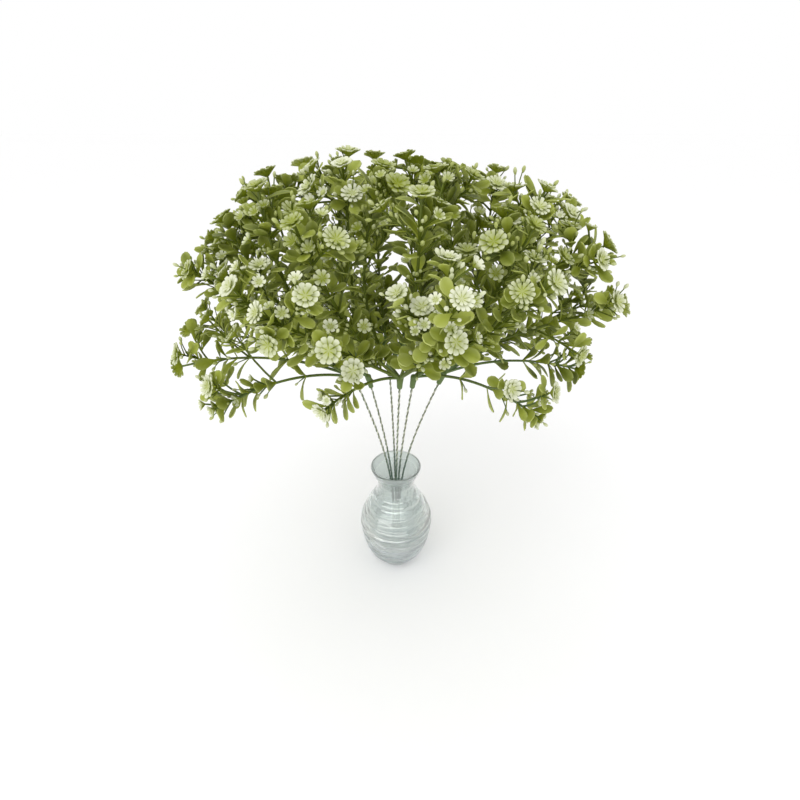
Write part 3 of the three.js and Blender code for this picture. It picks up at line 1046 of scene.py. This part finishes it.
def tubes(name, runs, sides_level):
    """Round stems along curves. A run is (curve, (radius at its root, at its end), points)."""
    curve = bpy.data.curves.new(name, "CURVE")
    curve.dimensions = "3D"
    curve.bevel_depth = MM
    curve.bevel_resolution = sides_level
    curve.use_fill_caps = True
    for bend, radii, count in runs:
        line = curve.splines.new("POLY")
        line.points.add(count - 1)
        for k, point in enumerate(line.points):
            share = k / (count - 1)
            point.co = (*(bend.point(share) * MM), 1)
            point.radius = radii[0] + (radii[1] - radii[0]) * share
    hold(put(name, curve))
    bpy.ops.object.convert(target="MESH")
    piece = bpy.context.object
    edit()
    bpy.ops.mesh.remove_doubles(threshold=0.01 * MM)
    bpy.ops.mesh.normals_make_consistent(inside=False)
    leave()
    smooth(piece, 60)
    return piece


# %% [markdown]
# ## Putting the sprays together
# Each copy gets a number for its tone. An arm's heads and buds are close in tone, because the real
# arms were sprayed one by one: about half stayed olive with a pale rim, and one in five is cream.

# %% The sprays
TINT_SEED = 5
BUD_SIZES = (0.75, 1.1)
ARM_POINTS = 20
TWIG_POINTS = 5
tint = random.Random(TINT_SEED)


def paleness(arm_tone, spread=0.2):
    """0 is olive all over and 1 is cream."""
    return arm_tone + tint.uniform(-spread, spread)


def leaf_places(spray):
    for root, tangent, shoot, arm_tone in spray.leaves:
        axes = basis(shoot["along"], tangent)
        share = shoot["length"] / LEAF_LENGTH
        matrix = placing(root, axes, share ** LEAF_NARROWING, share, True)
        yield tint.choice(leaf_shapes), matrix, 0.6 * arm_tone + 0.4 * tint.random() + 0.1


def spun(shoot):
    return basis(shoot["along"], direction(tint.uniform(0, 360), 0))


def head_places(spray):
    for shoot, arm_tone in spray.heads:
        axes = spun(shoot)
        share = shoot["radius"] / HEAD_RADIUS
        shape = little_head if "small" in shoot else tint.choice(head_shapes)
        yield shape, placing(shoot["end"], axes, share, share, False), paleness(arm_tone)


def bud_places(spray):
    for shoot, arm_tone in spray.buds:
        axes = spun(shoot)
        size = tint.uniform(*BUD_SIZES)
        yield bud_shape, placing(shoot["end"], axes, size, size, False), paleness(arm_tone, 0.3)


def socket_places(spray):
    axes = basis(spray.wire.tangent(1), direction(0, 90))
    yield socket_shape, placing(spray.wire.point(1), axes, 1, 1, False), 0.3


def dress(number, spray):
    node = f"spray_{number}"
    runs = [(arm, ARM_RADIUS, ARM_POINTS) for arm, _ in spray.arms]
    arms = tubes(f"arms_{number}", runs, 2)
    runs = [(bend, radii, TWIG_POINTS) for bend, radii, _ in spray.twigs]
    twigs = tubes(f"twigs_{number}", runs, 1)
    stems = joined(f"stems_{number}", arms, twigs)
    stems.data.materials.append(stem_plastic)
    made = [
        stems,
        copies(f"socket_{number}", socket_places(spray)),
        copies(f"leaves_{number}", leaf_places(spray)),
        copies(f"flowers_{number}", head_places(spray)),
        copies(f"buds_{number}", bud_places(spray)),
    ]
    for piece in made:
        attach(piece, "root")
        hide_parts(node)
    triangles = [sum(len(p.vertices) - 2 for p in piece.data.polygons) for piece in made]
    print(node, "has", triangles, "triangles")


for number, spray in enumerate(sprays, 1):
    dress(number, spray)
for shape in [*leaf_shapes, *head_shapes, little_head, bud_shape, socket_shape]:
    bpy.data.objects.remove(shape)

# %% [markdown]
# ## The wires
# A wire is two coated strands twisted together. One strand is painted dull green and the other
# pale, as painted shade and painted highlight, which is why it looks dashed from a step away. Each
# strand follows the wire's bend in a helix. Just above the vase's mouth the wires are painted
# darker, and in its neck nearly black, as painted shade. Below the neck their ends are painted
# pale, so that they hardly show through the glass.

# %% Twisted wires
STRAND_RADIUS = 0.52
STRAND_OFFSET = 0.5  # from the wire's middle to the strand's
TWIST_PITCH = 7.5  # length of wire for one turn
POINTS_A_TURN = 8


class Strand:
    """One of the strands that are twisted into a wire."""

    def __init__(self, bend, phase):
        self.bend = bend
        self.phase = phase
        self.turns = bend.length() / TWIST_PITCH

    def point(self, share):
        axes = basis(self.bend.tangent(share), direction(0, 0))
        around = direction(self.phase + 360 * self.turns * share, 0)
        return self.bend.point(share) + axes @ around * STRAND_OFFSET


def wire_finish():
    made = Material("coated_wire")
    place = made.place()
    height = made.height(place)
    cloud = made.noise(place, 320.0)
    # The strands' two colours are painted shade on the dull one and a painted highlight on the
    # pale one.
    colour = made.mix(made.attribute("strand"), srgb(100, 116, 88), srgb(206, 208, 190))
    colour = made.mix(cloud.step(0.35, 0.8) * 0.4, colour, srgb(140, 132, 112))
    # Darker just above the mouth and nearly black in the neck, as painted shade. Below the neck
    # the wire is painted pale, so that its ends hardly show through the glass.
    colour = made.mix(height.step(0.15, 0.118) * 0.75, colour, srgb(70, 98, 88))
    colour = made.mix(height.step(0.101, 0.092) * 0.9, colour, srgb(26, 40, 34))
    colour = made.mix(height.step(0.079, 0.072), colour, srgb(214, 220, 216))
    return made.finish(colour, 0.6, cloud, 0.0002, Specular_IOR_Level=0.3)


coated_wire = wire_finish()
for number, spray in enumerate(sprays, 1):
    turns = int(POINTS_A_TURN * spray.wire.length() / TWIST_PITCH)
    radii = (STRAND_RADIUS, STRAND_RADIUS)
    strands = []
    for shade, phase in enumerate((0, 180)):
        strand = tubes(f"strand_{phase}", [(Strand(spray.wire, phase), radii, turns)], 1)
        # The strand number picks the dull colour, as painted shade, or the pale one, as a painted
        # highlight.
        mark(strand, "strand", lambda x, y, z: shade)
        strands.append(strand)
    wire = joined(f"twisted_wire_{number}", *strands)
    wire.data.materials.append(coated_wire)
    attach(wire, "root")
    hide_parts(f"wire_{number}")
print("a wire has", len(wire.data.polygons), "faces")

# %% [markdown]
# ## The vase
# The vase is pressed glass with soft rings round its belly. It is turned from one profile, up the
# outside and down the inside. Then its rings are tilted a little, one way and the other, and its
# belly is made uneven, so that the rings are never quite level.

# %% The vase's profile
VASE_HEIGHT = 120
GLASS = 2.4  # thickness of the wall
OUTSIDE = [  # (height, radius) from above the foot to below the mouth
    (3, 19.5), (14, 26.4), (28, 31.6), (45, 34.6), (58, 34.4), (71, 29.4),
    (82, 23.2), (92, 18.8), (100, 17.8), (107, 19.5), (114, 22.3), (118.6, 23.9),
]
RIB_PITCH = 8.5
FIRST_RIB = 17
LAST_RIB = FIRST_RIB + 9 * RIB_PITCH
RIB_RISE = 1.3
VASE_SIDES = 96


def eased(points, steps=10):
    """More points, on a curve that runs smoothly through these (Catmull and Rom's)."""
    ends = [points[0], *points, points[-1]]
    made = []
    for a, b, c, d in zip(ends, ends[1:], ends[2:], ends[3:]):
        a, b, c, d = (np.array(point, float) for point in (a, b, c, d))
        for t in np.arange(steps) / steps:
            bend = (2 * a - 5 * b + 4 * c - d) * t**2 + (3 * b - a - 3 * c + d) * t**3
            made.append((2 * b + (c - a) * t + bend) / 2)
    return np.array([*made, points[-1]])


wall = eased(OUTSIDE)


def wall_radius(height):
    return float(np.interp(height, wall[:, 0], wall[:, 1]))


def rib(height):
    """How far the rings stand out at a height. They start and end softly."""
    swell = 0.5 + 0.5 * math.cos(math.tau * (height - FIRST_RIB) / RIB_PITCH)
    ease = min(1.0, (height - FIRST_RIB + RIB_PITCH) / RIB_PITCH, (LAST_RIB - height) / RIB_PITCH)
    return RIB_RISE * swell * max(0.0, ease)


outer_heights = np.arange(4, 118.5, RIB_PITCH / 8)
outer = [(wall_radius(z) + rib(z), float(z)) for z in outer_heights]
inner = [(wall_radius(z) - GLASS, float(z)) for z in np.arange(116, 11, -3.5)]
foot = [(13, 0.8), (14.5, 0), (17, 0), (18.6, 1.2), (19.4, 2.6)]
lip = [(23.9, 118.9), (23.7, 119.7), (23.1, VASE_HEIGHT), (22.3, 119.8), (21.9, 119)]
well = [(22.4, 9.5), (19.5, 7.4), (15, 6.4), (8, VASE_FLOOR)]
print("the vase's profile has", len(foot + outer + lip + inner + well), "points")

# %% The vase
TILT = 1.5  # degrees
TILT_EVERY = 0.33  # how fast the tilt changes from ring to ring
WOBBLE = 0.9
WOBBLE_SIZE = 11
WOBBLE_SPAN = (8, 90)


def wobble(piece):
    """Makes the belly uneven by moving its points in and out, less towards both ends."""
    low, high = WOBBLE_SPAN
    group = piece.vertex_groups.new(name="belly")
    for vertex in piece.data.vertices:
        height = vertex.co.z / MM
        share = max(0.0, min(1.0, (height - low) / 10, (high - height) / 10))
        group.add([vertex.index], share, "REPLACE")
    clouds = bpy.data.textures.new("wobble", "CLOUDS")
    clouds.noise_scale = WOBBLE_SIZE * MM
    modifier = piece.modifiers.new("wobble", "DISPLACE")
    modifier.texture = clouds
    modifier.vertex_group = group.name
    modifier.strength = WOBBLE * MM
    apply(piece, modifier)


def vase_finish():
    made = Material("vase_glass")
    place = made.place()
    height = made.height(place)
    stretched = made.node("ShaderNodeMapping", None, Vector=place, Scale=(16, 16, 150))
    streaks = made.noise(stretched, 1.0, 3.0)
    cloud = made.noise(place, 30.0, 3.0)
    # The glass is cooler and a little darker at the foot. Above the belly it is a darker grey, as
    # painted shade.
    body = made.mix(height.step(0.02, 0.06), srgb(238, 245, 248), srgb(250, 252, 247))
    belly = height.step(0.08, 0.064)
    body = made.mix(belly, srgb(226, 234, 231), body)
    # Pale streaks are painted highlights. Between them the glass is darker as painted shade, most
    # of all on the belly.
    highlight_strokes = (streaks * 0.7 + cloud * 0.3).step(0.43, 0.57)
    colour = made.mix((1 - highlight_strokes) * (belly * 0.7 + 0.3), body, srgb(216, 225, 222))
    frosting = height.step(0.104, 0.117) * 0.3 + belly * 0.16 + 0.03
    ripple = streaks * (belly * 0.7 + 0.3) + cloud * 0.3
    return made.finish(colour, frosting, ripple, 0.003, Transmission_Weight=0.82, IOR=1.42,
                       Coat_Weight=1.0, Coat_Roughness=0.08)


vase = turned("ribbed_vase", foot + outer + lip + inner + well, VASE_SIDES)
for number, height in enumerate(outer_heights):
    first = (len(foot) + number) * VASE_SIDES
    angle = math.radians(TILT) * math.sin(number * TILT_EVERY) * min(1, number / 10)
    angle *= max(0.0, min(1.0, (90 - height) / 20))
    choose(vase, range(first, first + VASE_SIDES))
    bpy.ops.transform.rotate(value=angle, orient_axis="YX"[number // 9 % 2], center_override=(
        0, 0, height * MM))
    leave()
wobble(vase)
smooth(vase, 60)
vase.data.materials.append(vase_finish())
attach(vase, "root")
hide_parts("vase")
print("the vase has", len(vase.data.polygons), "faces")

# %% The floor and the light
bpy.ops.mesh.primitive_plane_add(size=120, location=(0, 0, -0.1 * MM))
floor = bpy.context.object
floor.name = "floor"
floor.data.materials.append(Material("pale_floor").finish((1, 1, 1, 1), 0.9))

scene = bpy.context.scene
scene.view_settings.view_transform = "Standard"
world = bpy.data.worlds.new("studio")
world.use_nodes = True
background = world.node_tree.nodes["Background"]
background.inputs["Color"].default_value = (1, 1, 1, 1)
background.inputs["Strength"].default_value = 1.0
scene.world = world


def lamp(name, at, aim, size, power):
    data = bpy.data.lights.new(name, "AREA")
    data.shape = "RECTANGLE"
    data.size, data.size_y = size
    data.energy = power
    made = put(name, data)
    made.location = at
    made.rotation_euler = (Vector(aim) - Vector(at)).to_track_quat("-Z", "Y").to_euler()
    return made


lamp("key", (-0.6, -0.9, 1.5), (0, 0, 0.2), (1, 1), 5)
window = lamp("window", (-0.3, -1.3, 0.35), (0, 0, 0.05), (3, 0.5), 20)
window.visible_diffuse = False
window.visible_camera = False
